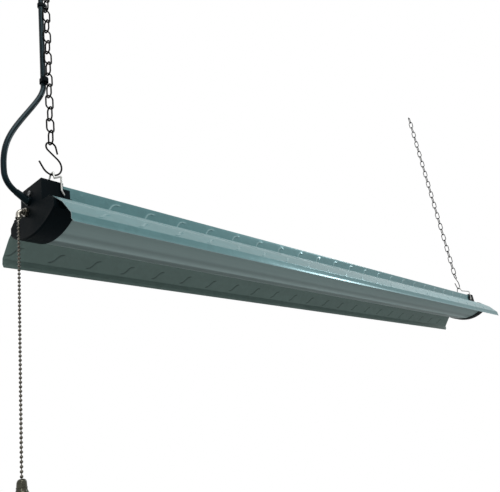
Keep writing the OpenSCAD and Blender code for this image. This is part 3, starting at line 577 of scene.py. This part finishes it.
def zinc_wire():
    return (Surface("bright_zinc_wire", (0.34, 0.345, 0.33), 0.3, metal=1)
            .mottle(120, 0.25).flecks(300, (0.12, 0.12, 0.11), 0.62, 0.75)
            .grain(700, 0.2))


def sheet(name, colour, rough, metal, mark, specular=0.4):
    """Rolled galvanised sheet: faint lines along it, faint crystals and cloudy stains."""
    return (Surface(name, colour, rough, metal=metal, specular=specular, stretch=(0.12, 1, 1))
            .mottle(38, 0.07, 0.05).spangle(130, 0.07).paint_marks(*mark)
            .grain(420, 0.12, 0.0002, True).grain(60, 0.25, 0.0006))


def moulded(name, colour, rough, specular=0.2):
    return (Surface(name, colour, rough, specular=specular)
            .mottle(55, 0.25).flecks(420, [v * 2.2 + 0.001 for v in colour], 0.66, 0.8)
            .grain(1500, 0.35, 0.0002).grain(220, 0.15, 0.0004))


def frosted():
    return (Surface("frosted_lens", (0.30, 0.392, 0.385), 0.45, specular=0.2,
                    stretch=(0.02, 1, 1))
            .mottle(70, 0.08, 0.05).flecks(320, (0.35, 0.43, 0.42), 0.62, 0.8, True)
            # painted shade and painted light in bands across the lens: darker bands and a paler
            # strip
            .painted_bands("Y", -0.043, 0.043, [(0.0, 0.78), (0.297, 0.81), (0.36, 0.60), (0.40, 0.62),
                                         (0.448, 0.77), (0.491, 0.91), (0.529, 1.0),
                                         (0.57, 0.5), (0.605, 0.45), (1.0, 0.49)])
            .sheen(0.8, 0.15, (0.9, 1, 0.97))
            .grain(1300, 0.2, 0.0002).grain(260, 0.2, 0.0003, True))


def jacket():
    return (Surface("cord_jacket", (0.003, 0.006, 0.0075), 0.26, specular=0.15)
            .tinted((0.45, 0.85, 1.0))
            .mottle(120, 0.25).flecks(500, (0.018, 0.024, 0.026), 0.64, 0.8)
            .grain(1100, 0.3, 0.0002).grain(90, 0.12, 0.0006))


def painted(name, colour, rough=0.4, metal=0.0):
    return (Surface(name, colour, rough, metal=metal).mottle(60, 0.05)
            .flecks(300, [v * 0.7 for v in colour], 0.66, 0.8).grain(600, 0.15))


def plated(name, colour, rough, wear):
    return (Surface(name, colour, rough, metal=1).mottle(160, 0.22, 0.06)
            .flecks(500, wear, 0.58, 0.74).grain(900, 0.15, 0.0002))


FINISHES = {
    "black_steel": enamelled_wire(),
    "zinc_wire": zinc_wire(),
    # the marks' paler colour (0.30, 0.46, 0.47) is a painted highlight on their ridges
    "galvanised_sheet": sheet("galvanised_sheet", (0.122, 0.246, 0.257), 0.30, 0.15,
                              ((0.30, 0.46, 0.47), 0.16), 0.14),
    "cap_plastic": moulded("moulded_cap_plastic", (0.002, 0.0045, 0.006), 0.5, 0.03),
    "lens_plastic": frosted(),
    "tray_paint": painted("white_tray_paint", (0.82, 0.83, 0.82)),
    "board_aluminium": painted("light_board", (0.84, 0.86, 0.84)),
    "chip_phosphor": painted("light_chip", (0.9, 0.75, 0.3), 0.3),
    "zinc_screw": plated("zinc_screw", (0.16, 0.17, 0.17), 0.38, (0.05, 0.05, 0.05)),
    "brass_parts": plated("bright_brass", (0.62, 0.47, 0.20), 0.28, (0.2, 0.13, 0.05)),
    "nickel_plate": plated("nickel_plate", (0.30, 0.285, 0.25), 0.26, (0.05, 0.042, 0.033)),
    "bell_bronze": plated("dark_nickel", (0.06, 0.06, 0.045), 0.25, (0.02, 0.018, 0.013)),
    "cord_jacket": jacket(),
    "lead_insulation": painted("lead_insulation", (0.25, 0.25, 0.25)),
    "switch_board": painted("pressed_fibre", (0.22, 0.10, 0.05), 0.7),
    "switch_white": painted("switch_moulding", (0.72, 0.66, 0.5), 0.45),
    "screw_green": painted("green_screw", (0.08, 0.36, 0.12), 0.35, 0.6),
}
NODE_FINISHES = {
    "pull_chain": plated("bead_nickel", (0.105, 0.098, 0.082), 0.2, (0.03, 0.027, 0.022)),
}
# A darker copy of the sheet for its inside: painted shade; the marks' darker colour is painted
# shade in the dents.
SHEET_INSIDE = sheet("galvanised_sheet_inside", (0.143, 0.206, 0.187), 0.5, 0.1,
                     ((0.058, 0.09, 0.082), 0.6))
# The rims are much paler than the sheet: a painted highlight along its cut edges.
SHEET_EDGE = sheet("galvanised_sheet_edge", (0.36, 0.47, 0.48), 0.4, 0.4,
                   ((0.36, 0.47, 0.48), 0.4))


def finish_nodes():
    for part in frame["record"]["subparts"]:
        mesh = frame["nodes"][part["node"]].data
        mesh.materials.clear()
        finish = NODE_FINISHES.get(part["node"], FINISHES[part["material_slot"]])
        mesh.materials.append(finish.material)


finish_nodes()
supply_cord.data.materials.append(FINISHES["cord_jacket"].material)
turned_bell.data.materials.append(FINISHES["bell_bronze"].material)
for surface in (FINISHES["galvanised_sheet"], SHEET_INSIDE, SHEET_EDGE):
    embossed_sheet.data.materials.append(surface.material)


# ---- Room ----
FLOOR_HALF, FLOOR_Z = 6, -1.6
WORLD_COLOUR, WORLD_STRENGTH = (0.80, 0.86, 0.88, 1), 0.42
# name, where it stands, what it points at, its size, watts and colour
LAMPS = [
    ("key_light", (-0.15, -1.0, 1.3), (0.3, 0, -0.55), (1.5, 1.2), 26, (1, 1, 1)),
    ("far_light", (2.1, 0.3, 0.0), (0.8, -0.05, -0.6), (0.5, 0.4), 0.12, (0.75, 0.95, 1)),
    ("glint_light", (1.95, -0.52, 0.35), (0.7, -0.03, -0.58), (0.2, 0.2), 6.5, (0.8, 0.95, 1)),
    ("front_light", (-0.9, -1.4, 0.1), (0.3, 0, -0.55), (0.2, 0.2), 3, (1, 1, 1)),
]


def add_area(name, where, towards, size, power, colour):
    data = bpy.data.lights.new(name, "AREA")
    data.shape = "RECTANGLE"
    data.size, data.size_y = size
    data.energy = power
    data.color = colour
    lamp = bpy.data.objects.new(name, data)
    bpy.context.scene.collection.objects.link(lamp)
    lamp.location = where
    lamp.visible_camera = False
    lamp.rotation_euler = (Vector(towards) - Vector(where)).to_track_quat("-Z", "Y").to_euler()


def add_floor():
    """Small enough that the camera, which looks up, doesn't see it."""
    corners = [(x * FLOOR_HALF, y * FLOOR_HALF, FLOOR_Z)
               for x, y in ((-1, -1), (1, -1), (1, 1), (-1, 1))]
    floor = new_object("floor", corners, [(0, 1, 2, 3)], False)
    floor.data.materials.append(Surface("pale_floor", (0.78, 0.78, 0.77), 0.8)
                                .mottle(4, 0.02).grain(60, 0.05).material)


def add_world():
    """Soft light all round, and plain white for the camera, for glossy and clear surfaces."""
    world = bpy.data.worlds.new("studio")
    bpy.context.scene.world = world
    world.use_nodes = True
    nodes, links = world.node_tree.nodes, world.node_tree.links
    back = nodes["Background"]
    back.inputs["Color"].default_value = WORLD_COLOUR
    back.inputs["Strength"].default_value = WORLD_STRENGTH
    white = nodes.new("ShaderNodeBackground")
    white.inputs["Color"].default_value = (1, 1, 1, 1)
    white.inputs["Strength"].default_value = 1.0
    path = nodes.new("ShaderNodeLightPath")
    mix = nodes.new("ShaderNodeMixShader")
    seen = path.outputs["Is Camera Ray"]
    for kind in ("Is Glossy Ray", "Is Transmission Ray"):
        either = nodes.new("ShaderNodeMath")
        either.operation = "MAXIMUM"
        links.new(seen, either.inputs[0])
        links.new(path.outputs[kind], either.inputs[1])
        seen = either.outputs["Value"]
    links.new(seen, mix.inputs["Fac"])
    links.new(back.outputs["Background"], mix.inputs[1])
    links.new(white.outputs["Background"], mix.inputs[2])
    links.new(mix.outputs["Shader"], nodes["World Output"].inputs["Surface"])


add_floor()
add_world()
for lamp in LAMPS:
    add_area(*lamp)
bpy.context.scene.view_settings.view_transform = "Standard"
